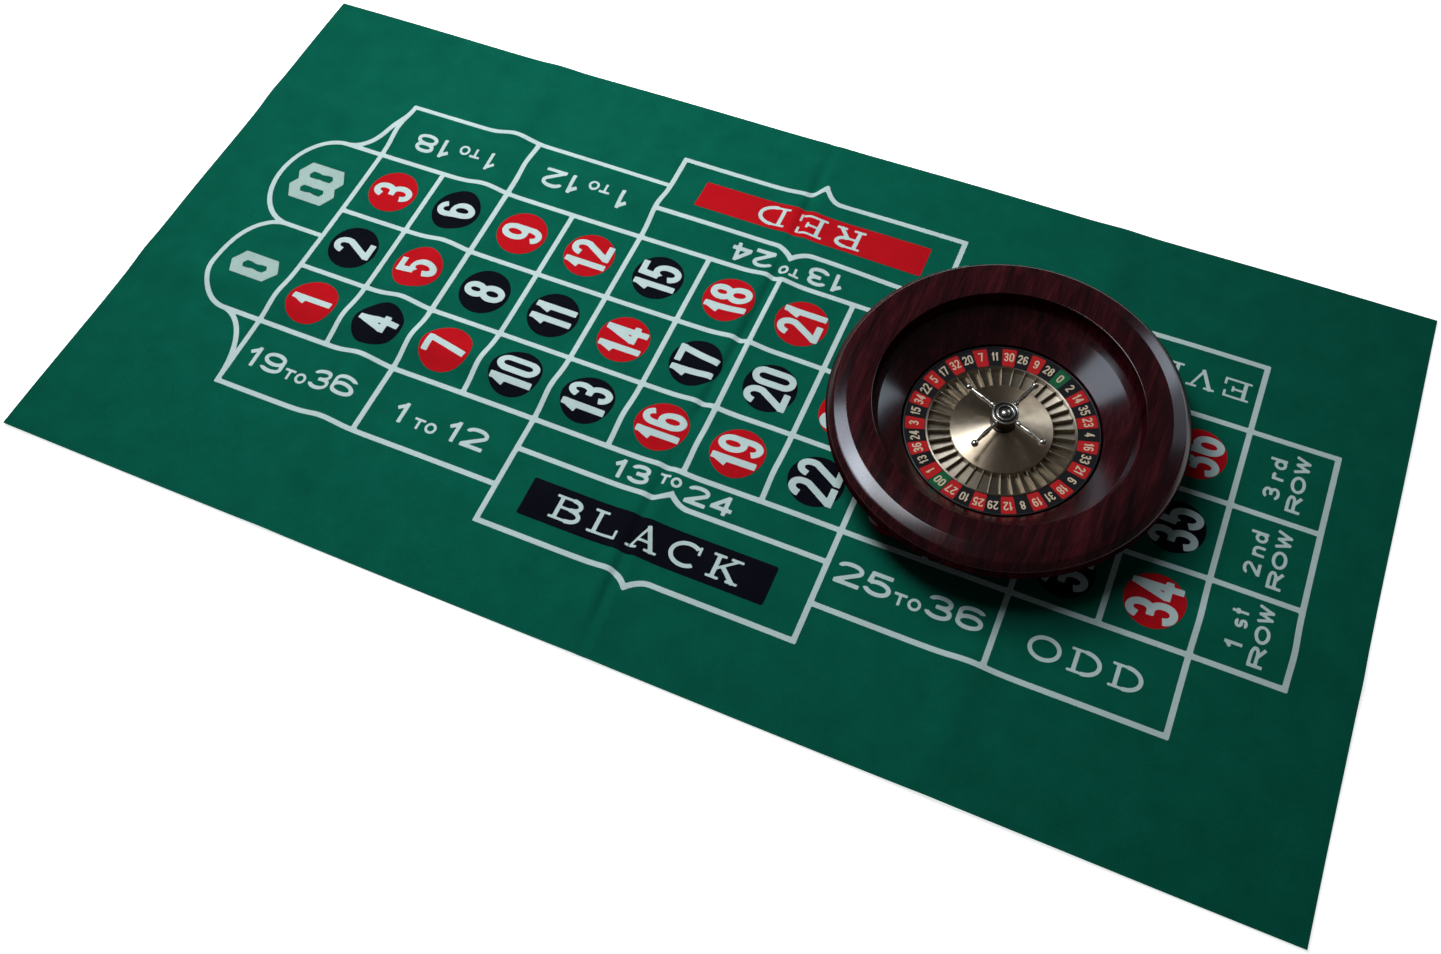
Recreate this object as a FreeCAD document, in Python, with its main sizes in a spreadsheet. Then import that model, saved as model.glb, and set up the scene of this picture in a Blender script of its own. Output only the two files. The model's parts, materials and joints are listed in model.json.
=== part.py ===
"""Home roulette table: a felt betting layout with a 12 inch wheel standing loose on it.

Frame: origin at the centre of the mat's underside, +X along the mat towards the row boxes,
+Y across it, +Z up. Millimetres. Every height is measured from the mat's underside.
The wheel's axis is vertical, at (wheel_x, wheel_y).
"""
import FreeCAD, Part
import math
import os

import Sketcher

# Driving dimensions, in millimetres, degrees or counts. Names ending in _r are radii and
# names ending in _z are heights.
DIMS = {
    # felt layout
    "mat_length": 1200, "mat_width": 600, "mat_top_z": 1.5,
    # where the wheel stands, and how its numbers and turret are turned
    "wheel_x": 262.5, "wheel_y": 27.4, "pocket_turn": 64.5, "turret_turn": 68,
    "pocket_count": 38, "arm_count": 4,
    # bowl: outside, from the base up to the rim
    "base_r": 136, "base_z": 4, "waist_r": 148, "waist_z": 38, "rim_r": 156,
    "rim_under_z": 44, "rim_side_z": 55, "rim_round_r": 8.5, "bevel_out_r": 150,
    "bevel_out_z": 61, "bevel_in_r": 138, "rim_top_z": 63.8,
    # bowl: inside, from the rim down to the well that the rotor turns in
    "lip_r": 116, "lip_top_z": 63, "lip_under_z": 60.4, "track_r": 117.4, "track_top_z": 58.6,
    "track_foot_r": 116.2, "track_foot_z": 47, "track_round_r": 9, "apron_top_r": 110.4,
    "apron_top_z": 40.2, "well_r": 88.5, "well_z": 21.5, "floor_top_z": 9, "floor_under_z": 6,
    "floor_hole_r": 5, "bowl_wall": 3, "skin_drop": 1.6,
    # bosses, cover, screws and feet under the bowl
    "boss_ring_r": 105, "boss_r": 3.6, "boss_top_z": 32, "boss_count": 6, "pilot_r": 1.25,
    "pilot_top_z": 21, "cover_r": 132.4, "cover_hole_r": 1.8, "base_head_r": 3.2,
    "base_head_z": 2.2, "base_screw_top_z": 20, "foot_ring_r": 118, "foot_r": 9, "foot_count": 4,
    # fixed spindle and its flange
    "flange_r": 16, "flange_top_z": 11.5, "flange_boss_r": 6, "flange_screw_ring_r": 11,
    "flange_screw_count": 3, "flange_hole_r": 1.3, "flange_head_r": 2.4, "flange_head_z": 12.5,
    "spindle_r": 4, "spindle_top_z": 35,
    # two ball bearings of the 8 x 22 x 7 mm size
    "lower_bearing_z": 13.5, "lower_bearing_top_z": 20.5, "upper_bearing_z": 21.5,
    "upper_bearing_top_z": 28.5, "lower_ball_z": 17, "upper_ball_z": 25, "race_in_r": 6,
    "race_out_r": 9, "bearing_r": 11, "ball_ring_r": 7.5, "bearing_ball_r": 1.95,
    "ball_path_r": 2, "race_groove_r": 3.5, "bearing_ball_count": 7,
    "washer_r": 7, "washer_top_z": 29.3, "nut_r": 6.5, "nut_top_z": 33.3,
    # rotor
    "hub_r": 14.5, "hub_under_z": 13, "hub_lip_r": 9.5, "hub_flange_r": 24,
    "hub_flange_top_z": 16.4, "hub_screw_ring_r": 19, "hub_screw_count": 4,
    "hub_screw_r": 1.25, "hub_head_r": 2.3, "hub_head_top_z": 17.8,
    "dish_in_r": 14.6, "dish_in_top_z": 14.4, "dish_step_r": 26, "dish_draft": 1.5,
    "dish_under_z": 10.6, "dish_top_z": 12, "dish_wall": 1.6, "dish_shelf_r": 67,
    "dish_shelf_z": 17.3, "dish_ledge_r": 85.4, "dish_ledge_z": 19.3, "dish_r": 86.8,
    "dish_skirt_z": 11, "dish_rim_z": 21.2, "number_ring_t": 1,
    # brass pocket ring, its frets and the cone
    "pocket_in_r": 44.8, "pocket_out_r": 65.2, "pocket_ring_r": 66.9, "pocket_wall": 0.8,
    "pocket_inner_z": 19.7, "pocket_lip_z": 19.2, "pocket_lip_round_r": 0.9,
    "fret_t": 0.9, "fret_top_z": 18.4,
    "cone_top_r": 9.6, "cone_top_z": 31, "cone_r": 45.3, "cone_edge_z": 20.5, "cone_t": 0.8,
    "cone_bow_r": 160,
    # turret
    "column_r": 9.5, "column_foot_r": 11.6, "column_foot_z": 32.2, "column_neck_z": 33.6,
    "column_neck_r": 9, "column_top_r": 8.2, "column_bore_r": 7.6, "column_bore_z": 36,
    "spigot_r": 3, "spigot_z": 38, "turret_z": 41, "turret_r": 11.6, "turret_side_z": 43,
    "turret_shoulder_z": 46.6, "turret_top_z": 47.5, "turret_crown_r": 11,
    "turret_groove_r": 10.2, "turret_groove_z": 46, "turret_ring_in_r": 6.3,
    "turret_ring_r": 8.1, "turret_ring_z": 47.9, "dome_r": 4.2, "dome_side_z": 47,
    "dome_top_z": 49.8, "dome_round_r": 4.55, "dome_stud_r": 1.5, "dome_stud_z": 42.5,
    "arm_z": 44.5, "arm_root_x": 7.6, "arm_pin_r": 1.2, "arm_collar_r": 2, "arm_bead_x": 12.8,
    "arm_bead_end_x": 16.6, "arm_bead_r": 2.2, "arm_neck_r": 1.4, "arm_bow_r": 73,
    "arm_end_x": 37.6, "arm_end_r": 1.25, "arm_tip_r": 3.25, "arm_tip_end_x": 43.85,
}

doc = FreeCAD.newDocument("RouletteTable")
sheet = doc.addObject("Spreadsheet::Sheet", "Dims")
for row, (alias, number) in enumerate(DIMS.items(), start=1):
    sheet.set(f"A{row}", alias)
    sheet.set(f"B{row}", str(number))
    sheet.setAlias(f"B{row}", alias)
doc.recompute()

parts = []


def amount(text):
    """The number that a sum such as "rim_r - bowl_wall" stands for."""
    total = 0.0
    sign = 1
    for word in text.split():
        if word in "+-":
            sign = 1 if word == "+" else -1
        else:
            total += 0 if word == "0" else sign * DIMS[word]
    return total


def bound(text):
    """The same sum as an expression on the spreadsheet."""
    return " ".join(f"Dims.{word}" if word in DIMS else word for word in text.split())


def new_body(name, lift=None, turn=None):
    """A body on the wheel's axis, raised and turned where the piece needs it."""
    body = doc.addObject("PartDesign::Body", name)
    body.Label = name
    body.AllowCompound = True
    body.setExpression("Placement.Base.x", "Dims.wheel_x")
    body.setExpression("Placement.Base.y", "Dims.wheel_y")
    if lift:
        body.setExpression("Placement.Base.z", bound(lift))
    if turn:
        body.Placement.Rotation = FreeCAD.Rotation(FreeCAD.Vector(0, 0, 1), 1)
        body.setExpression("Placement.Rotation.Angle", turn)
    parts.append(body)
    return body


def origin(body, role):
    """One of the body's own planes or axes."""
    return next(item for item in body.Origin.OriginFeatures if item.Role == role)


def new_sketch(body, name, role, lift=None):
    """A sketch on one of the body's planes, moved along the plane's normal where asked."""
    sketch = body.newObject("Sketcher::SketchObject", name)
    sketch.AttachmentSupport = (origin(body, role), "")
    sketch.MapMode = "FlatFace"
    if lift:
        sketch.setExpression("AttachmentOffset.Base.z", bound(lift))
    return sketch


def hold(sketch, kind, axis, place, text):
    """Fixes one coordinate of a point: on the axis where it is zero, else at its distance."""
    if text == "0":
        sketch.addConstraint(Sketcher.Constraint("PointOnObject", *place, axis))
        return
    index = sketch.addConstraint(Sketcher.Constraint(kind, -1, 1, *place, amount(text)))
    sketch.setExpression(f"Constraints[{index}]", bound(text))


def arc_between(start, end, radius, side):
    """The short arc from start to end. Its centre is left (1) or right (-1) of the way there."""
    chord = end - start
    middle = (start + end) * 0.5
    left = FreeCAD.Vector(-chord.y, chord.x, 0).normalize()
    rise = math.sqrt(radius ** 2 - (chord.Length / 2) ** 2)
    centre = middle + left * (rise * side)
    ends = (start, end) if side > 0 else (end, start)
    angles = [math.atan2(point.y - centre.y, point.x - centre.x) for point in ends]
    circle = Part.Circle(centre, FreeCAD.Vector(0, 0, 1), radius)
    return Part.ArcOfCircle(circle, *angles)


def outline(sketch, corners):
    """A closed outline. A corner is (x, y), or (x, y, radius, side) where an arc follows it."""
    def spot(corner):
        return FreeCAD.Vector(amount(corner[0]), amount(corner[1]), 0)

    joints = []
    for corner, following in zip(corners, corners[1:] + corners[:1]):
        start, end = spot(corner), spot(following)
        if len(corner) == 2:
            index = sketch.addGeometry(Part.LineSegment(start, end))
            joints.append(((index, 1), (index, 2)))
            continue
        radius, side = corner[2:]
        index = sketch.addGeometry(arc_between(start, end, amount(radius), side))
        sketch.addConstraint(Sketcher.Constraint("Radius", index, amount(radius)))
        sketch.setExpression(f"Constraints[{sketch.ConstraintCount - 1}]", bound(radius))
        joints.append(((index, 1), (index, 2)) if side > 0 else ((index, 2), (index, 1)))
    for before, after in zip(joints[-1:] + joints[:-1], joints):
        sketch.addConstraint(Sketcher.Constraint("Coincident", *before[1], *after[0]))
    for corner, (place, _) in zip(corners, joints):
        hold(sketch, "DistanceX", -2, place, corner[0])
        hold(sketch, "DistanceY", -1, place, corner[1])


def revolve(name, corners, about="V_Axis", **where):
    """A turned piece: an outline of (radius, height) swept round the wheel's axis."""
    body = new_body(name, **where)
    sketch = new_sketch(body, f"{name}_profile", "XZ_Plane")
    outline(sketch, corners)
    turned = body.newObject("PartDesign::Revolution", f"{name}_turned")
    turned.Profile = sketch
    turned.ReferenceAxis = (sketch, [about])
    turned.Angle = 360
    return body


def disc(body, name, away, radius, low, high, cut=False):
    """A round pad or pocket between two heights, its centre at a distance from the axis."""
    sketch = new_sketch(body, f"{name}_circle", "XY_Plane", lift=low)
    centre = FreeCAD.Vector(amount(away), 0, 0)
    up = FreeCAD.Vector(0, 0, 1)
    index = sketch.addGeometry(Part.Circle(centre, up, amount(radius)))
    sketch.addConstraint(Sketcher.Constraint("Radius", index, amount(radius)))
    sketch.setExpression(f"Constraints[{sketch.ConstraintCount - 1}]", bound(radius))
    hold(sketch, "DistanceX", -2, (index, 3), away)
    hold(sketch, "DistanceY", -1, (index, 3), "0")
    kind = "PartDesign::Pocket" if cut else "PartDesign::Pad"
    feature = body.newObject(kind, name)
    feature.Profile = sketch
    feature.setExpression("Length", f"{bound(high)} - ({bound(low)})")
    feature.Reversed = cut
    return feature


def repeat(body, name, features, count):
    """Copies features evenly round the wheel's axis."""
    pattern = body.newObject("PartDesign::PolarPattern", name)
    pattern.Originals = features
    pattern.Axis = (origin(body, "Z_Axis"), [""])
    pattern.Angle = 360
    pattern.setExpression("Occurrences", f"Dims.{count}")
    body.Tip = pattern
    return pattern


def screws(name, away, head, shank, count):
    """Identical screws round the axis. Head and shank are each (radius, low, high)."""
    body = new_body(name)
    pair = [disc(body, f"{name}_head", away, *head), disc(body, f"{name}_shank", away, *shank)]
    repeat(body, f"{name}_round", pair, count)
    return body


def felt_mat():
    """The printed felt layout, laid flat."""
    body = doc.addObject("PartDesign::Body", "felt_mat")
    body.Label = "felt_mat"
    parts.append(body)
    sketch = new_sketch(body, "mat_outline", "XY_Plane")
    half_l, half_w = DIMS["mat_length"] / 2, DIMS["mat_width"] / 2
    corners = [(-half_l, -half_w), (half_l, -half_w), (half_l, half_w), (-half_l, half_w)]
    corners = [FreeCAD.Vector(x, y, 0) for x, y in corners]
    for start, end in zip(corners, corners[1:] + corners[:1]):
        sketch.addGeometry(Part.LineSegment(start, end))
    for side in range(4):
        sketch.addConstraint(Sketcher.Constraint("Coincident", side, 2, (side + 1) % 4, 1))
    for side in (0, 2):
        sketch.addConstraint(Sketcher.Constraint("Horizontal", side))
        sketch.addConstraint(Sketcher.Constraint("Vertical", side + 1))
    sketch.addConstraint(Sketcher.Constraint("Symmetric", 0, 1, 1, 2, -1, 1))
    for kind, side, alias in (("DistanceX", 0, "mat_length"), ("DistanceY", 1, "mat_width")):
        index = sketch.addConstraint(Sketcher.Constraint(kind, side, 1, side, 2, DIMS[alias]))
        sketch.setExpression(f"Constraints[{index}]", f"Dims.{alias}")
    pad = body.newObject("PartDesign::Pad", "mat_felt")
    pad.Profile = sketch
    pad.setExpression("Length", "Dims.mat_top_z")


def bowl():
    """The bowl, one skin thick: its rim, the apron with the rotor's well, and the well's floor."""
    revolve("bowl_rim", [
        ("base_r", "base_z"),
        ("waist_r", "waist_z"),
        ("rim_r", "rim_under_z"),
        ("rim_r", "rim_side_z", "rim_round_r", 1),
        ("bevel_out_r", "bevel_out_z"),
        ("bevel_in_r", "rim_top_z"),
        ("lip_r", "lip_top_z"),
        ("lip_r", "lip_under_z"),
        ("track_r", "track_top_z"),
        ("track_r + bowl_wall", "track_top_z"),
        ("bevel_in_r", "rim_top_z - bowl_wall"),
        ("bevel_out_r - skin_drop", "bevel_out_z - bowl_wall"),
        ("rim_r - bowl_wall", "rim_side_z - skin_drop"),
        ("rim_r - bowl_wall", "rim_under_z + skin_drop"),
        ("waist_r - bowl_wall", "waist_z + skin_drop"),
        ("base_r - bowl_wall", "base_z"),
    ])
    revolve("ball_track", [
        ("track_r", "track_top_z"),
        ("track_foot_r", "track_foot_z"),
        ("track_foot_r + bowl_wall", "track_foot_z"),
        ("track_r + bowl_wall", "track_top_z"),
    ])
    apron = revolve("bowl_apron", [
        ("track_foot_r", "track_foot_z", "track_round_r", -1),
        ("apron_top_r", "apron_top_z"),
        ("well_r", "well_z"),
        ("well_r", "floor_top_z"),
        ("well_r + bowl_wall", "floor_top_z"),
        ("well_r + bowl_wall", "well_z - skin_drop"),
        ("apron_top_r + bowl_wall", "apron_top_z - skin_drop"),
        ("track_foot_r + bowl_wall", "track_foot_z - skin_drop"),
        ("track_foot_r + bowl_wall", "track_foot_z"),
    ])
    boss = disc(apron, "bowl_boss", "boss_ring_r", "boss_r", "floor_under_z", "boss_top_z")
    repeat(apron, "bowl_bosses", [boss], "boss_count")
    pilot = disc(apron, "bowl_pilot", "boss_ring_r", "pilot_r", "floor_under_z", "pilot_top_z",
                 cut=True)
    repeat(apron, "bowl_pilots", [pilot], "boss_count")
    floor = revolve("well_floor", [
        ("floor_hole_r", "floor_under_z"),
        ("well_r + bowl_wall", "floor_under_z"),
        ("well_r + bowl_wall", "floor_top_z"),
        ("floor_hole_r", "floor_top_z"),
    ])
    hole = disc(floor, "floor_flange_hole", "flange_screw_ring_r", "flange_hole_r",
                "floor_under_z", "floor_top_z", cut=True)
    repeat(floor, "floor_flange_holes", [hole], "flange_screw_count")


def under_the_bowl():
    """The cover that closes the bowl from below, its screws and the rubber feet."""
    cover = new_body("base_cover")
    disc(cover, "cover_plate", "0", "cover_r", "base_z", "floor_under_z")
    hole = disc(cover, "cover_hole", "boss_ring_r", "cover_hole_r", "base_z", "floor_under_z",
                cut=True)
    repeat(cover, "cover_holes", [hole], "boss_count")
    screws("base_screws", "boss_ring_r", ("base_head_r", "base_head_z", "base_z"),
           ("pilot_r", "base_z", "base_screw_top_z"), "boss_count")
    feet = new_body("base_feet", turn="180 / Dims.foot_count")
    foot = disc(feet, "foot", "foot_ring_r", "foot_r", "mat_top_z", "base_z")
    repeat(feet, "feet", [foot], "foot_count")


def spindle_and_bearings():
    """The fixed spindle with its flange, and the two bearings that the rotor turns on."""
    flange = revolve("spindle_flange", [
        ("spindle_r", "floor_top_z"),
        ("flange_r", "floor_top_z"),
        ("flange_r", "flange_top_z"),
        ("flange_boss_r", "flange_top_z"),
        ("flange_boss_r", "lower_bearing_z"),
        ("spindle_r", "lower_bearing_z"),
    ])
    hole = disc(flange, "flange_hole", "flange_screw_ring_r", "flange_hole_r", "floor_top_z",
                "flange_top_z", cut=True)
    repeat(flange, "flange_holes", [hole], "flange_screw_count")
    screws("flange_screws", "flange_screw_ring_r",
           ("flange_head_r", "flange_top_z", "flange_head_z"),
           ("flange_hole_r", "floor_under_z", "flange_top_z"), "flange_screw_count")
    spindle = new_body("spindle")
    disc(spindle, "spindle_rod", "0", "spindle_r", "floor_under_z", "spindle_top_z")
    for level in ("lower", "upper"):
        low, high = f"{level}_bearing_z", f"{level}_bearing_top_z"
        path_low, path_high = f"{level}_ball_z - ball_path_r", f"{level}_ball_z + ball_path_r"
        revolve(f"{level}_inner_race", [
            ("spindle_r", low),
            ("race_in_r", low),
            ("race_in_r", path_low, "race_groove_r", -1),
            ("race_in_r", path_high),
            ("race_in_r", high),
            ("spindle_r", high),
        ])
        revolve(f"{level}_outer_race", [
            ("race_out_r", low),
            ("bearing_r", low),
            ("bearing_r", high),
            ("race_out_r", high),
            ("race_out_r", path_high, "race_groove_r", -1),
            ("race_out_r", path_low),
        ])
        balls = new_body(f"{level}_balls")
        ball = balls.newObject("PartDesign::AdditiveSphere", f"{level}_ball")
        ball.AttachmentSupport = (origin(balls, "XY_Plane"), "")
        ball.MapMode = "FlatFace"
        ball.setExpression("Radius", "Dims.bearing_ball_r")
        ball.setExpression("AttachmentOffset.Base.x", "Dims.ball_ring_r")
        ball.setExpression("AttachmentOffset.Base.z", f"Dims.{level}_ball_z")
        repeat(balls, f"{level}_ball_set", [ball], "bearing_ball_count")
    for name, radius, low, high in (
        ("bearing_spacer", "race_in_r", "lower_bearing_top_z", "upper_bearing_z"),
        ("spindle_washer", "washer_r", "upper_bearing_top_z", "washer_top_z"),
    ):
        revolve(name, [("spindle_r", low), (radius, low), (radius, high), ("spindle_r", high)])
    spindle_nut()


def spindle_nut():
    """The hexagon nut that holds the inner races down on the spindle."""
    body = new_body("spindle_nut")
    sketch = new_sketch(body, "nut_hexagon", "XY_Plane", lift="washer_top_z")
    centre = FreeCAD.Vector(0, 0, 0)
    up = FreeCAD.Vector(0, 0, 1)
    nut_r = DIMS["nut_r"]
    angles = [math.radians(60 * step) for step in range(6)]
    tips = [FreeCAD.Vector(nut_r * math.cos(a), nut_r * math.sin(a), 0) for a in angles]
    for start, end in zip(tips, tips[1:] + tips[:1]):
        sketch.addGeometry(Part.LineSegment(start, end))
    guide = sketch.addGeometry(Part.Circle(centre, up, nut_r), True)
    bore = sketch.addGeometry(Part.Circle(centre, up, DIMS["spindle_r"]))
    for side in range(6):
        sketch.addConstraint(Sketcher.Constraint("Coincident", side, 2, (side + 1) % 6, 1))
        sketch.addConstraint(Sketcher.Constraint("PointOnObject", side, 1, guide))
    for side in range(5):
        sketch.addConstraint(Sketcher.Constraint("Equal", side, side + 1))
    sketch.addConstraint(Sketcher.Constraint("PointOnObject", 0, 1, -1))
    for ring, alias in ((guide, "nut_r"), (bore, "spindle_r")):
        sketch.addConstraint(Sketcher.Constraint("Coincident", ring, 3, -1, 1))
        index = sketch.addConstraint(Sketcher.Constraint("Radius", ring, DIMS[alias]))
        sketch.setExpression(f"Constraints[{index}]", f"Dims.{alias}")
    pad = body.newObject("PartDesign::Pad", "nut_block")
    pad.Profile = sketch
    pad.setExpression("Length", "Dims.nut_top_z - Dims.washer_top_z")


def rotor():
    """The dish that turns with its number shelf, its hub, and the printed number ring."""
    dish = revolve("rotor_dish", [
        ("dish_in_r", "hub_under_z"),
        ("dish_step_r - dish_draft", "hub_under_z"),
        ("dish_step_r", "dish_under_z"),
        ("dish_shelf_r", "dish_under_z"),
        ("dish_shelf_r", "dish_top_z"),
        ("dish_step_r + dish_draft", "dish_top_z"),
        ("dish_step_r", "dish_in_top_z"),
        ("dish_in_r", "dish_in_top_z"),
    ])
    revolve("number_shelf", [
        ("dish_shelf_r", "dish_under_z"),
        ("dish_shelf_r + dish_wall", "dish_under_z"),
        ("dish_shelf_r + dish_wall", "dish_shelf_z - dish_wall"),
        ("dish_r - dish_wall", "dish_ledge_z - dish_wall"),
        ("dish_r - dish_wall", "dish_skirt_z"),
        ("dish_r", "dish_skirt_z"),
        ("dish_r", "dish_rim_z"),
        ("dish_ledge_r", "dish_rim_z"),
        ("dish_ledge_r", "dish_ledge_z"),
        ("dish_shelf_r", "dish_shelf_z"),
    ])
    hole = disc(dish, "dish_hole", "hub_screw_ring_r", "hub_screw_r", "hub_under_z",
                "dish_in_top_z", cut=True)
    repeat(dish, "dish_holes", [hole], "hub_screw_count")
    hub = revolve("rotor_hub", [
        ("hub_lip_r", "hub_under_z"),
        ("hub_r", "hub_under_z"),
        ("hub_r", "dish_in_top_z"),
        ("hub_flange_r", "dish_in_top_z"),
        ("hub_flange_r", "hub_flange_top_z"),
        ("hub_r", "hub_flange_top_z"),
        ("hub_r", "upper_bearing_top_z"),
        ("bearing_r", "upper_bearing_top_z"),
        ("bearing_r", "lower_bearing_z"),
        ("hub_lip_r", "lower_bearing_z"),
    ])
    hole = disc(hub, "hub_hole", "hub_screw_ring_r", "hub_screw_r", "dish_in_top_z",
                "hub_flange_top_z", cut=True)
    repeat(hub, "hub_holes", [hole], "hub_screw_count")
    screws("hub_screws", "hub_screw_ring_r",
           ("hub_head_r", "hub_flange_top_z", "hub_head_top_z"),
           ("hub_screw_r", "hub_under_z", "hub_flange_top_z"), "hub_screw_count")
    revolve("number_ring", [
        ("dish_shelf_r", "dish_shelf_z"),
        ("dish_ledge_r", "dish_ledge_z"),
        ("dish_ledge_r", "dish_ledge_z + number_ring_t"),
        ("dish_shelf_r", "dish_shelf_z + number_ring_t"),
    ])


def pockets_and_cone():
    """The brass ring of pockets, the frets between them and the spun cone."""
    revolve("pocket_ring", [
        ("pocket_in_r - pocket_wall", "dish_top_z"),
        ("pocket_ring_r", "dish_top_z"),
        ("pocket_ring_r", "pocket_lip_z", "pocket_lip_round_r", 1),
        ("pocket_out_r", "pocket_lip_z"),
        ("pocket_out_r", "dish_top_z + pocket_wall"),
        ("pocket_in_r", "dish_top_z + pocket_wall"),
        ("pocket_in_r", "pocket_inner_z"),
        ("pocket_in_r - pocket_wall", "pocket_inner_z"),
    ])
    body = new_body("pocket_frets", turn="Dims.pocket_turn + 180 / Dims.pocket_count")
    sketch = new_sketch(body, "fret_outline", "XZ_Plane")
    outline(sketch, [
        ("pocket_in_r", "dish_top_z + pocket_wall"),
        ("pocket_out_r", "dish_top_z + pocket_wall"),
        ("pocket_out_r", "fret_top_z"),
        ("pocket_in_r", "fret_top_z"),
    ])
    fret = body.newObject("PartDesign::Pad", "fret")
    fret.Profile = sketch
    fret.Midplane = True
    fret.setExpression("Length", "Dims.fret_t")
    repeat(body, "frets", [fret], "pocket_count")
    revolve("rotor_cone", [
        ("cone_top_r", "cone_top_z - cone_t"),
        ("pocket_in_r - pocket_wall", "pocket_inner_z"),
        ("cone_r", "pocket_inner_z"),
        ("cone_r", "cone_edge_z", "cone_bow_r", 1),
        ("cone_top_r", "cone_top_z"),
    ])


def turret():
    """The turned column, the hub with its ring and dome, and four arms to spin it by."""
    revolve("turret_column", [
        ("column_bore_r", "upper_bearing_top_z"),
        ("column_r", "upper_bearing_top_z"),
        ("column_r", "cone_top_z"),
        ("column_foot_r", "cone_top_z"),
        ("column_foot_r", "column_foot_z"),
        ("column_neck_r", "column_neck_z"),
        ("column_top_r", "turret_z"),
        ("spigot_r", "turret_z"),
        ("spigot_r", "spigot_z"),
        ("0", "spigot_z"),
        ("0", "column_bore_z"),
        ("column_bore_r", "column_bore_z"),
    ])
    hub = revolve("turret_hub", [
        ("0", "spigot_z"),
        ("spigot_r", "spigot_z"),
        ("spigot_r", "turret_z"),
        ("column_top_r", "turret_z"),
        ("turret_r", "turret_side_z"),
        ("turret_r", "turret_shoulder_z"),
        ("turret_crown_r", "turret_top_z"),
        ("turret_groove_r", "turret_top_z"),
        ("turret_groove_r", "turret_groove_z"),
        ("dome_stud_r", "turret_groove_z"),
        ("dome_stud_r", "dome_stud_z"),
        ("0", "dome_stud_z"),
    ], turn="Dims.turret_turn")
    sketch = new_sketch(hub, "arm_hole_circle", "YZ_Plane", lift="arm_root_x")
    up = FreeCAD.Vector(0, 0, 1)
    centre = FreeCAD.Vector(0, DIMS["arm_z"], 0)
    index = sketch.addGeometry(Part.Circle(centre, up, DIMS["arm_pin_r"]))
    sketch.addConstraint(Sketcher.Constraint("Radius", index, DIMS["arm_pin_r"]))
    sketch.setExpression("Constraints[0]", "Dims.arm_pin_r")
    hold(sketch, "DistanceX", -2, (index, 3), "0")
    hold(sketch, "DistanceY", -1, (index, 3), "arm_z")
    hole = hub.newObject("PartDesign::Pocket", "arm_hole")
    hole.Profile = sketch
    hole.Reversed = True
    hole.setExpression("Length", "Dims.turret_r")
    repeat(hub, "arm_holes", [hole], "arm_count")
    revolve("turret_ring", [
        ("turret_ring_in_r", "turret_groove_z"),
        ("turret_ring_r", "turret_groove_z"),
        ("turret_ring_r", "turret_ring_z"),
        ("turret_ring_in_r", "turret_ring_z"),
    ])
    revolve("turret_dome", [
        ("0", "dome_stud_z"),
        ("dome_stud_r", "dome_stud_z"),
        ("dome_stud_r", "turret_groove_z"),
        ("dome_r", "turret_groove_z"),
        ("dome_r", "dome_side_z", "dome_round_r", 1),
        ("0", "dome_top_z"),
    ])
    for number in range(DIMS["arm_count"]):
        revolve(f"turret_arm_{number + 1}", [
            ("arm_root_x", "0"),
            ("arm_root_x", "arm_pin_r"),
            ("turret_r", "arm_pin_r"),
            ("turret_r", "arm_collar_r"),
            ("arm_bead_x", "arm_neck_r", "arm_bead_r", -1),
            ("arm_bead_end_x", "arm_neck_r", "arm_bow_r", -1),
            ("arm_end_x", "arm_end_r", "arm_tip_r", -1),
            ("arm_tip_end_x", "0"),
        ], about="H_Axis", lift="arm_z",
            turn=f"Dims.turret_turn + {number} * 360 / Dims.arm_count")


felt_mat()
bowl()
under_the_bowl()
spindle_and_bearings()
rotor()
pockets_and_cone()
turret()
doc.recompute()

for item in doc.Objects:
    if "Invalid" in item.State or "Error" in item.State:
        raise RuntimeError(f"{item.Label} failed: {item.State}")
    if item.isDerivedFrom("PartDesign::Pocket"):
        if item.Shape.Volume > item.BaseFeature.Shape.Volume - 1:
            raise RuntimeError(f"{item.Label} cuts nothing")
os.makedirs("parts", exist_ok=True)
for part in parts:
    shape = part.Shape
    if shape.isNull() or not shape.isValid():
        raise RuntimeError(f"{part.Label} has no valid shape")
    shape.exportStep(os.path.join("parts", f"{part.Label}.step"))
    print(f"{part.Label}: {len(shape.Solids)} solid(s), {shape.Volume / 1000:.2f} cm3")
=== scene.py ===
"""Looks of a home roulette table: a creased, printed felt layout with a wheel standing on it.

Everything is in metres in the row's frame: +X along the mat towards the row boxes, +Y across
it, +Z up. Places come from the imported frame. The print is laid out in millimetres from the
mat's centre, as a printer's drawing would be.
"""
import json
import math

import bpy
import numpy as np
from mathutils import Euler, Matrix, Vector


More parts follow.
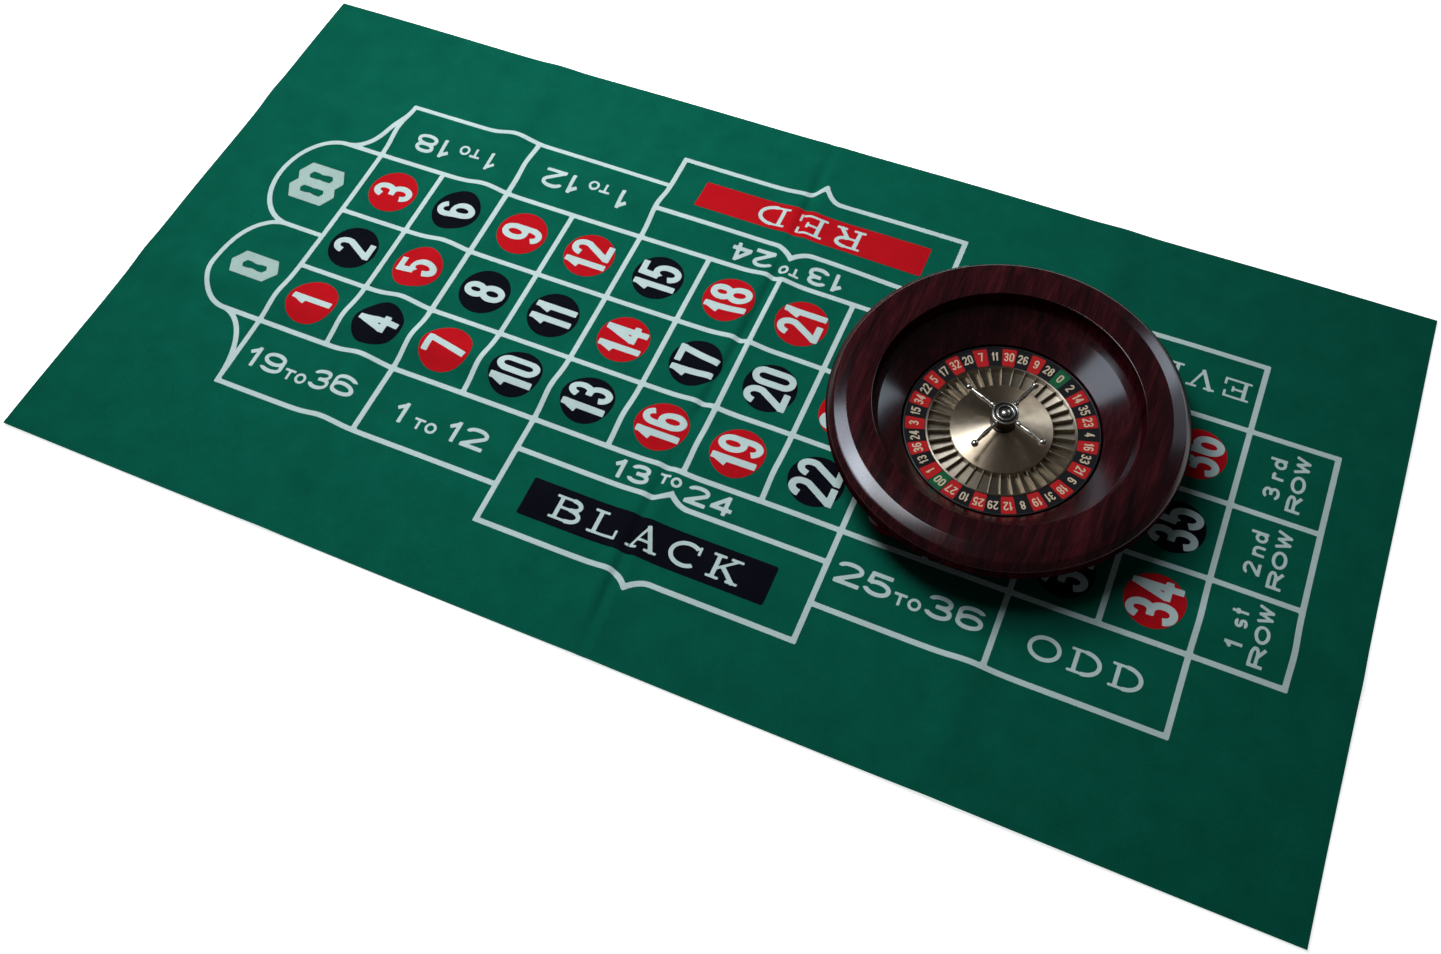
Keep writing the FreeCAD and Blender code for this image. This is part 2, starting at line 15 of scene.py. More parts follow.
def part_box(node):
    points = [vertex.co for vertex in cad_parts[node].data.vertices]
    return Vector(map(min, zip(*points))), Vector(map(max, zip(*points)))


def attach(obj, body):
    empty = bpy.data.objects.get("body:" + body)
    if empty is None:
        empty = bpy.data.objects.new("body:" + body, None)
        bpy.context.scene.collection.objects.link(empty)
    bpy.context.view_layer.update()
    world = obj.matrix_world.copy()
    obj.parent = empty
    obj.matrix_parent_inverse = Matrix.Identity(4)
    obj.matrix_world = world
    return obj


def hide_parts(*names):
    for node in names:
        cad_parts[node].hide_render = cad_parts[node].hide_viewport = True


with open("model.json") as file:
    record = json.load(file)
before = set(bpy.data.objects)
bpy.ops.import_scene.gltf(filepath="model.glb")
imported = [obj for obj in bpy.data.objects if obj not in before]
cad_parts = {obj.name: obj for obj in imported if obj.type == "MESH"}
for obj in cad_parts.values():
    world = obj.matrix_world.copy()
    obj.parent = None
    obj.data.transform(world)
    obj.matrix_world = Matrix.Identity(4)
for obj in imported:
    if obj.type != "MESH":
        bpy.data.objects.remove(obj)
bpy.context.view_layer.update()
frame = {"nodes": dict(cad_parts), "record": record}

MM = 0.001

# ---------------------------------------------------------------- places from the frame
MAT_LOW, MAT_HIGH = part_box("felt_mat")
BOWL_LOW, BOWL_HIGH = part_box("bowl_rim")
RING_LOW, RING_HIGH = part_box("number_ring")
POCKET_LOW, POCKET_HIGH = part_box("pocket_ring")
WHEEL_X = (BOWL_LOW.x + BOWL_HIGH.x) / 2
WHEEL_Y = (BOWL_LOW.y + BOWL_HIGH.y) / 2
AXIS = Vector((WHEEL_X, WHEEL_Y, 0))


def radius_of(low, high):
    """The outer radius of a turned node, from its box."""
    return (high.x - low.x) / 2


RIM_R = radius_of(BOWL_LOW, BOWL_HIGH)
RING_R = radius_of(RING_LOW, RING_HIGH)
POCKET_R = radius_of(POCKET_LOW, POCKET_HIGH)

# ---------------------------------------------------------------- the wheel's numbers
# Counter-clockwise from zero, seen from above.
WHEEL_ORDER = ("0 28 9 26 30 11 7 20 32 17 5 22 34 15 3 24 36 13 1 "
               "00 27 10 25 29 12 8 19 31 18 6 21 33 16 4 23 35 14 2").split()
RED_NUMBERS = {1, 3, 5, 7, 9, 12, 14, 16, 18, 19, 21, 23, 25, 27, 30, 32, 34, 36}
ZERO_TURN = 64.5
TURRET_TURN = 68
ARM_COUNT = 4
POCKET_STEP = 360 / len(WHEEL_ORDER)

# ---------------------------------------------------------------- the layout, in millimetres
COLUMN_START = -439.0
COLUMN_PITCH = 75.5
COLUMNS = 12
ROW_LINES = (-111.0, -38.0, 38.5, 117.5)
ROW_BOX_END = 544.0
SIDE_BOX_TOP = 189.0
SIDE_BOX_BOTTOM = -184.0
RED_BOX_TOP = 227.0
BLACK_BOX_BOTTOM = -221.0
STRIP_TOP = 153.0
STRIP_BOTTOM = -143.5
MIDDLE_X = 14.0
LINE_WIDTH = 5.0
ZERO_SPLIT = 1.5
BRACE_HALF = 20.0
BRACE_GAP = 19
RED_BAR = (-104, 173, 137, 208)
BLACK_BAR = (-107, -202, 129, -164)
ORDINAL_X = 497
ROW_WORD_X = 517
DISC_R = 25.6
DISC_REACH = 27
ZERO_X = -481.0
DOUBLE_ZERO_Y = 58.4
SINGLE_ZERO_Y = -58.0

# Sizes of the grid cells that the print's outlines are drawn on.
LINE_CELL = 1.3
BAR_CELL = 2.1
DISC_CELL = 1.5
ZERO_CELL = 0.9

# ---------------------------------------------------------------- folds left in the felt
# In metres. Across the mat: x, rise, and the share pinched away along the sharp crease.
# Along the mat: y, rise, and the x where the fold has died out.
FOLDS_ACROSS = ((-0.317, 0.0085, 0), (0.003, 0.0055, 0.95), (0.306, 0.0060, 0))
FOLDS_ALONG = ((0.156, 0.0070, 0.14), (-0.078, 0.0075, 0.70))
FOLD_SPREAD = 0.020
PINCH_SPREAD = 0.006
EDGE_FADE = 0.070
PRESSED_R = 0.146
PRESSED_FADE = 0.070
SLACK_RISE = 0.0005
FELT_CELL = 0.0042
CREASE_BAND = (-0.015, 0.021)
CREASE_CELL = 0.0015
CREASE_GAP = 0.001
INK_LIFT = 0.00016
INK_DEPTH = 0.0005
RAISED_SHARE = 0.6
RAISED_DEPTH = 0.0004
SECTOR_DEPTH = 0.0004
RING_NUMBER_LIFT = 0.0001
RING_NUMBER_DEPTH = 0.0003
FLOOR_DROP = 0.0004


def smooth_step(value):
    """Eases from 0 to 1, level at both ends."""
    value = np.clip(value, 0, 1)
    return value * value * (3 - 2 * value)


def mat_rise(x, y):
    """How far the felt stands up from the table at a point, from its old folds and slack."""
    total = np.zeros_like(x)
    for place, rise, pinch in FOLDS_ACROSS:
        off = x - place - 0.004 * np.sin(y * 13 + place * 40)
        strength = 0.82 + 0.18 * np.sin(y * 17 + place * 9)
        strength = strength * (1 - pinch * np.exp(-(off / PINCH_SPREAD) ** 2))
        total = total + (rise * strength * np.exp(-(off / FOLD_SPREAD) ** 2)) ** 3
    for place, rise, end in FOLDS_ALONG:
        off = y - place - 0.003 * np.sin(x * 11 + place * 30)
        strength = (0.78 + 0.22 * np.sin(x * 14 + place * 20)) * smooth_step((end - x) / 0.1)
        total = total + (rise * strength * np.exp(-(off / FOLD_SPREAD) ** 2)) ** 3
    to_edge = np.minimum(MAT_HIGH.x - np.abs(x), MAT_HIGH.y - np.abs(y))
    folds = np.cbrt(total) * (0.2 + 0.8 * smooth_step(to_edge / EDGE_FADE))
    slack = SLACK_RISE * (2 + np.sin(x * 19 + 1.3 * np.sin(y * 15)) + np.sin(y * 23 + x * 7))
    away = np.hypot(x - WHEEL_X, y - WHEEL_Y)
    return (folds + slack) * smooth_step((away - PRESSED_R) / PRESSED_FADE)


# ---------------------------------------------------------------- meshes
def add_mesh(name, points, faces, material, sharp=None):
    """A mesh object from points and faces, smooth except across edges over the sharp angle."""
    mesh = bpy.data.meshes.new(name)
    mesh.from_pydata([tuple(p) for p in points], [], faces)
    mesh.validate()
    mesh.polygons.foreach_set("use_smooth", [True] * len(mesh.polygons))
    if sharp is not None:
        mesh.set_sharp_from_angle(angle=math.radians(sharp))
    mesh.materials.append(material)
    piece = bpy.data.objects.new(name, mesh)
    bpy.context.scene.collection.objects.link(piece)
    return piece


def finished(piece, body, slot, *nodes):
    """Puts a piece on its body and hides the CAD nodes it stands for; slot is not used."""
    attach(piece, body)
    if nodes:
        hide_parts(*nodes)
    return piece


def rounded(corners, closed=True, steps=5):
    """An outline of (x, y, rounding) corners as plain points, each corner an arc."""
    points = []
    count = len(corners)
    for index, (x, y, rounding) in enumerate(corners):
        here = Vector((x, y))
        at_end = not closed and index in (0, count - 1)
        if rounding <= 0 or at_end:
            points.append(here)
            continue
        before = Vector(corners[index - 1][:2]) - here
        after = Vector(corners[(index + 1) % count][:2]) - here
        half = before.angle(after) / 2
        reach = min(rounding / math.tan(half), before.length * 0.49, after.length * 0.49)
        start, end = here + before.normalized() * reach, here + after.normalized() * reach
        for step in range(steps + 1):
            t = step / steps
            points.append(start * (1 - t) ** 2 + here * 2 * t * (1 - t) + end * t ** 2)
    return points


def lathe(name, outline, material, steps=192, sharp=50, place=None):
    """Turns a closed outline of (radius, height) about +Z through the origin, then places it."""
    points, rows = [], []
    for x, z in outline:
        if x < 1e-7:
            points.append((0, 0, z))
            rows.append([len(points) - 1] * steps)
            continue
        row = []
        for step in range(steps):
            angle = 2 * math.pi * step / steps
            points.append((x * math.cos(angle), x * math.sin(angle), z))
            row.append(len(points) - 1)
        rows.append(row)
    faces = []
    for lower, upper in zip(rows, rows[1:] + rows[:1]):
        for step in range(steps):
            after = (step + 1) % steps
            corners = [lower[step], lower[after], upper[after], upper[step]]
            face = list(dict.fromkeys(corners))
            if len(face) > 2:
                faces.append(face)
    piece = add_mesh(name, points, faces, material, sharp)
    piece.data.transform(place if place is not None else Matrix.Translation(AXIS))
    turn_outwards(piece.data)
    return piece


def turn_outwards(mesh):
    """Flips a closed mesh whose faces look inwards."""
    mesh.calc_loop_triangles()
    corners = np.array([[mesh.vertices[i].co[:] for i in triangle.vertices]
                        for triangle in mesh.loop_triangles])
    middle = corners.reshape(-1, 3).mean(0)
    a, b, c = (corners[:, i] - middle for i in range(3))
    if (a * np.cross(b, c)).sum() < 0:
        mesh.flip_normals()


# ---------------------------------------------------------------- flat shapes as distances
def bar_field(x, y, x0, y0, x1, y1, width, cap=0.5):
    """Distance outside a straight bar whose ends run on by cap widths."""
    length = math.hypot(x1 - x0, y1 - y0)
    ux, uy = (x1 - x0) / length, (y1 - y0) / length
    along = (x - x0) * ux + (y - y0) * uy
    across = (y - y0) * ux - (x - x0) * uy
    return np.maximum(np.abs(along - length / 2) - length / 2 - width * cap,
                      np.abs(across) - width / 2)


def arc_field(x, y, cx, cy, rx, ry, start, end, width):
    """Distance outside a band along an ellipse between two angles in degrees."""
    u, v = (x - cx) / rx, (y - cy) / ry
    rho = np.hypot(u, v) + 1e-9
    slope = np.hypot(u / rx, v / ry) / rho + 1e-9
    band = np.abs((rho - 1) / slope) - width / 2
    if end - start >= 360:
        return band
    a, b = math.radians(start), math.radians(end)
    size = (rx + ry) / 2
    before = (u * math.sin(a) - v * math.cos(a)) * size
    past = (v * math.cos(b) - u * math.sin(b)) * size
    ends = np.maximum(before, past) if end - start <= 180 else np.minimum(before, past)
    return np.maximum(band, ends - width * 0.04)


def disc_field(x, y, cx, cy, radius):
    """Distance outside a disc."""
    return np.hypot(x - cx, y - cy) - radius


def box_field(x, y, x0, y0, x1, y1):
    """Distance outside a level rectangle."""
    return np.maximum(np.abs(x - (x0 + x1) / 2) - (x1 - x0) / 2,
                      np.abs(y - (y0 + y1) / 2) - (y1 - y0) / 2)


def fill(field, low, high, cell):
    """The part of a rectangle where field(x, y) is below zero, as flat points and faces."""
    xs = np.arange(low[0], high[0] + cell, cell)
    ys = np.arange(low[1], high[1] + cell, cell)
    grid_x, grid_y = np.meshgrid(xs, ys)
    value = field(grid_x, grid_y)
    value[np.abs(value) < 1e-6] = 1e-6
    inside = value < 0
    points, faces, known = [], [], {}

    def point(key, x, y):
        if key not in known:
            known[key] = len(points)
            points.append((x, y))
        return known[key]

    corner_sum = (inside[:-1, :-1].astype(int) + inside[:-1, 1:]
                  + inside[1:, 1:] + inside[1:, :-1])
    for row, column in zip(*np.nonzero(corner_sum)):
        around = ((row, column), (row, column + 1), (row + 1, column + 1), (row + 1, column))
        face = []
        for here, there in zip(around, around[1:] + around[:1]):
            if inside[here]:
                face.append(point(here, grid_x[here], grid_y[here]))
            if inside[here] != inside[there]:
                first, second = sorted((here, there))
                share = value[first] / (value[first] - value[second])
                x = grid_x[first] + (grid_x[second] - grid_x[first]) * share
                y = grid_y[first] + (grid_y[second] - grid_y[first]) * share
                face.append(point((first, second), x, y))
        if len(face) > 2:
            faces.append(face)
    return points, faces


def slab(name, patches, place, material, depth):
    """Joins flat patches into one thin closed piece. place(x, y, lift) gives points in space."""
    points, faces = [], []
    for flat, cells in patches:
        x, y = np.array(flat).T
        base = len(points)
        count = len(flat)
        points.extend(place(x, y, INK_LIFT))
        points.extend(place(x, y, INK_LIFT - depth))
        faces.extend([[base + i for i in cell] for cell in cells])
        faces.extend([[base + count + i for i in reversed(cell)] for cell in cells])
        edges = {}
        for cell in cells:
            for a, b in zip(cell, cell[1:] + cell[:1]):
                if (b, a) in edges:
                    del edges[(b, a)]
                else:
                    edges[(a, b)] = True
        faces.extend([[base + b, base + a, base + count + a, base + count + b] for a, b in edges])
    return add_mesh(name, points, faces, material, sharp=50)


# ---------------------------------------------------------------- lettering
# Strokes in a unit box: four numbers are a bar, six an elliptical arc with its angles.
SANS = {
    "0": [(0, .32, 0, .68), (1, .32, 1, .68), (.5, .77, .5, .23, 0, 180),
          (.5, .23, .5, .23, 180, 360)],
    "1": [(.72, 0, .72, 1), (.62, .93, .14, .74)],
    "2": [(.5, .75, .5, .25, -25, 172), (.9, .6, .1, .09), (.02, 0, 1, 0)],
    "3": [(.48, .76, .45, .24, -88, 168), (.5, .26, .5, .26, -168, 88), (.42, .52, .5, .52)],
    "4": [(.74, 0, .74, 1), (.66, .94, .06, .34), (.02, .26, 1, .26)],
    "5": [(.14, 1, .92, 1), (.12, .96, .07, .6), (.48, .31, .52, .31, -165, 142)],
    "6": [(.5, .29, .5, .29, 0, 360), (0, .36, 0, .66), (.5, .74, .5, .26, 22, 180)],
    "7": [(0, 1, 1, 1), (.96, .92, .42, 0)],
    "8": [(.5, .77, .44, .23, 0, 360), (.5, .27, .5, .27, 0, 360)],
    "9": [(.5, .71, .5, .29, 0, 360), (1, .34, 1, .64), (.5, .26, .5, .26, 202, 360)],
    "T": [(0, 1, 1, 1), (.5, 0, .5, .95)],
    "O": [(.5, .5, .5, .5, 0, 360)],
    "R": [(0, 0, 0, 1), (.05, 1, .5, 1), (.05, .46, .5, .46), (.5, .73, .48, .27, -92, 92),
          (.56, .4, .96, 0)],
    "W": [(0, 1, .26, 0), (.26, 0, .5, .9), (.5, .9, .74, 0), (.74, 0, 1, 1)],
    "s": [(.5, .49, .44, .17, 25, 268), (.5, .17, .46, .17, -155, 90)],
    "t": [(.45, .05, .45, .95), (.1, .66, .85, .66)],
    "n": [(0, 0, 0, .62), (.5, .36, .5, .28, 0, 180), (1, 0, 1, .3)],
    "d": [(.46, .33, .46, .33, 0, 360), (1, 0, 1, 1)],
    "r": [(.1, 0, .1, .62), (.6, .36, .5, .28, 35, 180)],
}
# Slab letters: thick strokes, then thin ones.
SLAB = {
    "A": ([(.5, 1, .85, .02)], [(.5, 1, .15, .02), (.27, .36, .72, .36), (0, 0, .32, 0),
                                (.66, 0, 1, 0)]),
    "B": ([(.17, .05, .17, .95), (.55, .77, .32, .23, -90, 90), (.55, .27, .4, .27, -90, 90)],
          [(0, 1, .55, 1), (0, 0, .55, 0), (.17, .54, .55, .54)]),
    "C": ([(.52, .5, .5, .5, 48, 312)], [(.92, .7, .92, .98)]),
    "D": ([(.18, .05, .18, .95), (.44, .5, .54, .5, -90, 90)], [(0, 1, .44, 1), (0, 0, .44, 0)]),
    "E": ([(.18, .05, .18, .95)], [(0, 1, .9, 1), (0, 0, .94, 0), (.18, .52, .62, .52),
                                   (.9, 1, .9, .74), (.94, 0, .94, .28), (.62, .42, .62, .62)]),
    "K": ([(.17, .05, .17, .95), (.42, .52, .84, .03)],
          [(.2, .4, .78, .97), (0, 1, .36, 1), (0, 0, .36, 0), (.6, 1, .94, 1), (.68, 0, 1, 0)]),
    "L": ([(.2, .05, .2, .95)], [(0, 1, .42, 1), (0, 0, .94, 0), (.94, 0, .94, .32)]),
    "N": ([(.14, 1, .86, .02)], [(.14, 0, .14, 1), (.86, 0, .86, 1), (0, 1, .16, 1),
                                 (0, 0, .3, 0), (.7, 1, 1, 1)]),
    "O": ([(.5, .5, .5, .5, 0, 360)], []),
    "R": ([(.17, .05, .17, .95), (.52, .75, .35, .25, -90, 90), (.54, .48, .84, .03)],
          [(0, 1, .52, 1), (.17, .5, .52, .5), (0, 0, .36, 0), (.7, 0, 1, 0)]),
    "V": ([(.14, 1, .5, .03)], [(.86, 1, .5, .03), (0, 1, .32, 1), (.68, 1, 1, 1)]),
}
NARROW = {"1": 0.62, "t": 0.55, "s": 0.8, "r": 0.7, "n": 0.85, "d": 0.9}


class Style:
    """A face of lettering: its size in millimetres, its strokes and the gap between letters."""

    def __init__(self, height, width, stroke, gap, thin=0, cell=0.9):
        self.height, self.width, self.stroke = height, width, stroke
        self.gap, self.thin, self.cell = gap, thin, cell

    def letter_width(self, letter):
        return self.width * (1 if self.thin else NARROW.get(letter, 1))

    def length(self, text):
        widths = [self.letter_width(letter) for letter in text]
        return sum(widths) + self.gap * (len(text) - 1)

    def strokes(self, letter):
        """(stroke, width) pairs of one letter."""
        if not self.thin:
            return [(stroke, self.stroke) for stroke in SANS[letter]]
        thick, thin = SLAB[letter]
        return [(s, self.stroke) for s in thick] + [(s, self.thin) for s in thin]

    def letter_field(self, letter, x, y):
        """Distance outside one letter whose box starts at the origin."""
        inner_w = self.letter_width(letter) - self.stroke
        inner_h = self.height - self.stroke
        half = self.stroke / 2
        nearest = np.full_like(x, 1e3)
        for stroke, width in self.strokes(letter):
            px, py, qx, qy = stroke[:4]
            if len(stroke) == 4:
                part = bar_field(x, y, px * inner_w + half, py * inner_h + half,
                                 qx * inner_w + half, qy * inner_h + half, width)
            else:
                part = arc_field(x, y, px * inner_w + half, py * inner_h + half, qx * inner_w,
                                 qy * inner_h, *stroke[4:], width)
            nearest = np.minimum(nearest, part)
        return nearest


def write(text, style, x, y, turn=0):
    """Flat patches of a word centred at (x, y), turned by so many degrees."""
    patches = []
    angle = math.radians(turn)
    cursor = -style.length(text) / 2
    for letter in text:
        width = style.letter_width(letter)
        flat, cells = fill(lambda u, v: style.letter_field(letter, u, v), (-1, -1),
                           (width + 1, style.height + 1), style.cell)
        u, v = np.array(flat).T
        u, v = u + cursor, v - style.height / 2
        placed = np.stack([x + u * math.cos(angle) - v * math.sin(angle),
                           y + u * math.sin(angle) + v * math.cos(angle)], 1)
        patches.append((placed, cells))
        cursor += width + style.gap
    return patches


# ---------------------------------------------------------------- materials
class Shader:
    """A procedural material round one Principled shader."""

    def __init__(self, name, colour, roughness, **sockets):
        self.material = bpy.data.materials.new(name)
        self.material.use_nodes = True
        self.nodes = self.material.node_tree.nodes
        self.links = self.material.node_tree.links
        self.shader = self.nodes["Principled BSDF"]
        self.set("Base Color", colour)
        self.set("Roughness", roughness)
        for socket, value in sockets.items():
            self.set(socket.replace("_", " "), value)
        self.material.diffuse_color = (*colour, 1)
        self.place = self.nodes.new("ShaderNodeTexCoord").outputs["Object"]

    def set(self, socket, value):
        if isinstance(value, (tuple, list)) and len(value) == 3:
            value = (*value, 1)
        self.shader.inputs[socket].default_value = value

    def stretch(self, scale, turn=(0, 0, 0)):
        """The place, stretched and turned, for a pattern with a direction."""
        mapping = self.nodes.new("ShaderNodeMapping")
        mapping.inputs["Scale"].default_value = scale
        mapping.inputs["Rotation"].default_value = [math.radians(a) for a in turn]
        self.links.new(self.place, mapping.inputs["Vector"])
        return mapping.outputs["Vector"]

    def noise(self, scale, detail=3, roughness=0.5, distortion=0, vector=None):
        node = self.nodes.new("ShaderNodeTexNoise")
        node.inputs["Scale"].default_value = scale
        node.inputs["Detail"].default_value = detail
        node.inputs["Roughness"].default_value = roughness
        node.inputs["Distortion"].default_value = distortion
        self.links.new(vector or self.place, node.inputs["Vector"])
        return node.outputs["Fac"]

    def ramp(self, factor, *stops):
        """Colours by factor. A stop is (position, colour)."""
        node = self.nodes.new("ShaderNodeValToRGB")
        elements = node.color_ramp.elements
        while len(elements) < len(stops):
            elements.new(0.5)
        for element, (position, colour) in zip(elements, stops):
            element.position = position
            element.color = (*colour, 1)
        self.links.new(factor, node.inputs["Fac"])
        return node.outputs["Color"]

    def mix(self, factor, first, second, blend="MIX"):
        node = self.nodes.new("ShaderNodeMix")
        node.data_type = "RGBA"
        node.blend_type = blend
        for index, value in ((0, factor), (6, first), (7, second)):
            if isinstance(value, bpy.types.NodeSocket):
                self.links.new(value, node.inputs[index])
            else:
                node.inputs[index].default_value = value if index == 0 else (*value, 1)
        return node.outputs[2]

    def upward(self):
        """How far the surface faces up, from 0 on a wall to 1 on a level top."""
        normal = self.nodes.new("ShaderNodeNewGeometry").outputs["Normal"]
        split = self.nodes.new("ShaderNodeSeparateXYZ")
        self.links.new(normal, split.inputs["Vector"])
        return split.outputs["Z"]

    def span(self, factor, low, high, start=0, end=1):
        """Maps a factor from its own range, start to end, on to another, low to high."""
        node = self.nodes.new("ShaderNodeMapRange")
        node.inputs["From Min"].default_value = start
        node.inputs["From Max"].default_value = end
        node.inputs["To Min"].default_value = low
        node.inputs["To Max"].default_value = high
        self.links.new(factor, node.inputs["Value"])
        return node.outputs["Result"]

    def drive(self, socket, output):
        self.links.new(output, self.shader.inputs[socket])

    def bump(self, height, distance, strength=1.0):
        node = self.nodes.new("ShaderNodeBump")
        node.inputs["Distance"].default_value = distance
        node.inputs["Strength"].default_value = strength
        self.links.new(height, node.inputs["Height"])
        self.drive("Normal", node.outputs["Normal"])


def darker(colour, share):
    """A colour times a share, which lightens it when the share is over 1."""
    return tuple(c * share for c in colour)


def felt_like(name, colour, fade, fuzz):
    """Felt or ink soaked into felt: a mottled colour with fibres standing in it."""
    look = Shader(name, colour, 1.0, Specular_IOR_Level=0.03)
    fibres = look.noise(1500, 4, 0.65)
    mottle = look.noise(34, 5, 0.6)
    tone = look.ramp(mottle, (0.3, darker(colour, 1 - fade)), (0.7, darker(colour, 1 + fade)))
    speckle = look.ramp(fibres, (0.35, (0.72, 0.72, 0.72)), (0.65, (1.16, 1.16, 1.16)))
    look.drive("Base Color", look.mix(fuzz * 0.8, tone, speckle, "MULTIPLY"))
    look.bump(fibres, 0.0006 * fuzz, 0.6)
    return look.material


def wood_look():
    """Glossy plastic printed with streaky dark mahogany, all running one way."""
    dark, red, warm = (0.010, 0.0022, 0.0035), (0.030, 0.0042, 0.0066), (0.066, 0.008, 0.012)
    look = Shader("bowl_wood_look", red, 0.38, Specular_IOR_Level=0.0, Coat_Roughness=0.17)
    look.drive("Coat Weight", look.span(look.upward(), 0.0, 1.0, 0.45, 0.7))
    broad = look.noise(1, 4, 0.62, 0.6, look.stretch((95, 11, 40)))
    fine = look.noise(1, 3, 0.7, 0.2, look.stretch((620, 26, 260)))
    grain = look.ramp(broad, (0.32, dark), (0.5, red), (0.72, warm))
    pores = look.ramp(fine, (0.38, (0.35, 0.3, 0.3)), (0.6, (1.1, 1.1, 1.1)))
    look.drive("Base Color", look.mix(0.75, grain, pores, "MULTIPLY"))
    look.drive("Roughness", look.span(look.noise(60, 4), 0.3, 0.42))
    look.bump(fine, 0.00005, 0.35)
    return look.material


def spun_brass(name, colour, low, high):
    """Brass spun on a lathe: fine rings that stretch its highlights towards the axis."""
    look = Shader(name, colour, low, Metallic=1.0, Anisotropic=0.95, Anisotropic_Rotation=0.25)
    tangent = look.nodes.new("ShaderNodeTangent")
    tangent.direction_type = "RADIAL"
    tangent.axis = "Z"
    look.drive("Tangent", tangent.outputs["Tangent"])
    cloud = look.noise(120, 5, 0.6)
    look.drive("Base Color", look.ramp(cloud, (0.3, darker(colour, 0.85)),
                                       (0.7, darker(colour, 1.1))))
    look.drive("Roughness", look.span(look.noise(400, 3), low, high))
    return look.material


def satin_metal(name, colour, roughness, wear=0.12, grain=0.00003):
    """Plated metal with a slightly uneven tone and polish."""
    look = Shader(name, colour, roughness, Metallic=1.0)
    cloud = look.noise(260, 5, 0.62)
    stops = ((0.3, darker(colour, 1 - wear)), (0.7, darker(colour, 1 + wear)))
    look.drive("Base Color", look.ramp(cloud, *stops))
    look.drive("Roughness", look.span(look.noise(900, 3), roughness * 0.8, roughness * 1.25))
    look.bump(cloud, grain, 0.4)
    return look.material


def moulded(name, colour, roughness):
    """Plain moulded plastic or rubber with a faint skin."""
    look = Shader(name, colour, roughness)
    skin = look.noise(1400, 3)
    look.drive("Base Color", look.ramp(look.noise(90, 4), (0.3, darker(colour, 0.8)),
                                       (0.7, darker(colour, 1.25))))
    look.drive("Roughness", look.span(skin, roughness * 0.85, roughness * 1.15))
    look.bump(skin, 0.00003, 0.3)
    return look.material


def ring_ink(name, colour):
    """Ink on the number ring, slightly worn and satin."""
    look = Shader(name, colour, 0.5, Specular_IOR_Level=0.15)
    worn = look.noise(700, 4, 0.6)
    look.drive("Base Color", look.ramp(worn, (0.25, darker(colour, 0.78)), (0.6, colour)))
    look.bump(worn, 0.00003, 0.4)
    return look.material


FELT_GREEN = (0.0028, 0.112, 0.072)
INK_WHITE = (0.55, 0.70, 0.70)
INK_RED = (0.50, 0.007, 0.013)
INK_BLACK = (0.0045, 0.005, 0.009)
felt = felt_like("green_felt", FELT_GREEN, 0.10, 1.0)
white_ink = felt_like("white_ink", INK_WHITE, 0.05, 0.6)
red_ink = felt_like("red_ink", INK_RED, 0.06, 0.6)
black_ink = felt_like("black_ink", INK_BLACK, 0.15, 0.6)
zero_ink = felt_like("zero_ink", (0.40, 0.56, 0.53), 0.06, 0.7)
wood = wood_look()
cone_brass = spun_brass("cone_brass", (0.70, 0.55, 0.39), 0.38, 0.46)
pocket_brass = spun_brass("pocket_brass", (0.48, 0.40, 0.30), 0.4, 0.5)
turret_metal = satin_metal("turret_metal", (0.54, 0.49, 0.42), 0.25, 0.06, 0.000002)
# Near-black metal as painted shade: it colours the turret's column and the hub's side dark where
# shade falls.
column_bronze = satin_metal("column_bronze", (0.05, 0.04, 0.03), 0.38)
screw_steel = satin_metal("screw_steel", (0.55, 0.55, 0.56), 0.28)
bearing_steel = satin_metal("bearing_steel", (0.5, 0.5, 0.52), 0.22)
black_plastic = moulded("black_plastic", (0.012, 0.012, 0.013), 0.35)
foot_rubber = moulded("foot_rubber", (0.02, 0.02, 0.02), 0.7)
ring_black = ring_ink("ring_black", (0.008, 0.008, 0.010))
ring_red = ring_ink("ring_red", (0.50, 0.012, 0.014))
ring_green = ring_ink("ring_green", (0.008, 0.115, 0.045))
ring_cream = ring_ink("ring_cream", (0.66, 0.55, 0.40))

SLOT_MATERIALS = {
    "felt": felt, "bowl_plastic": wood, "black_plastic": black_plastic,
    "foot_rubber": foot_rubber, "screw_steel": screw_steel, "bearing_steel": bearing_steel,
    "pocket_brass": pocket_brass, "cone_brass": cone_brass, "column_bronze": column_bronze,
    "turret_metal": turret_metal,
}
NODE_MATERIALS = {"number_ring": ring_black}


def dress_cad_nodes():
    """Every CAD node that stays gets the procedural material of its slot."""
    for part in frame["record"]["subparts"]:
        data = frame["nodes"][part["node"]].data
        data.materials.clear()
        own = NODE_MATERIALS.get(part["node"], SLOT_MATERIALS[part["material_slot"]])
        data.materials.append(own)


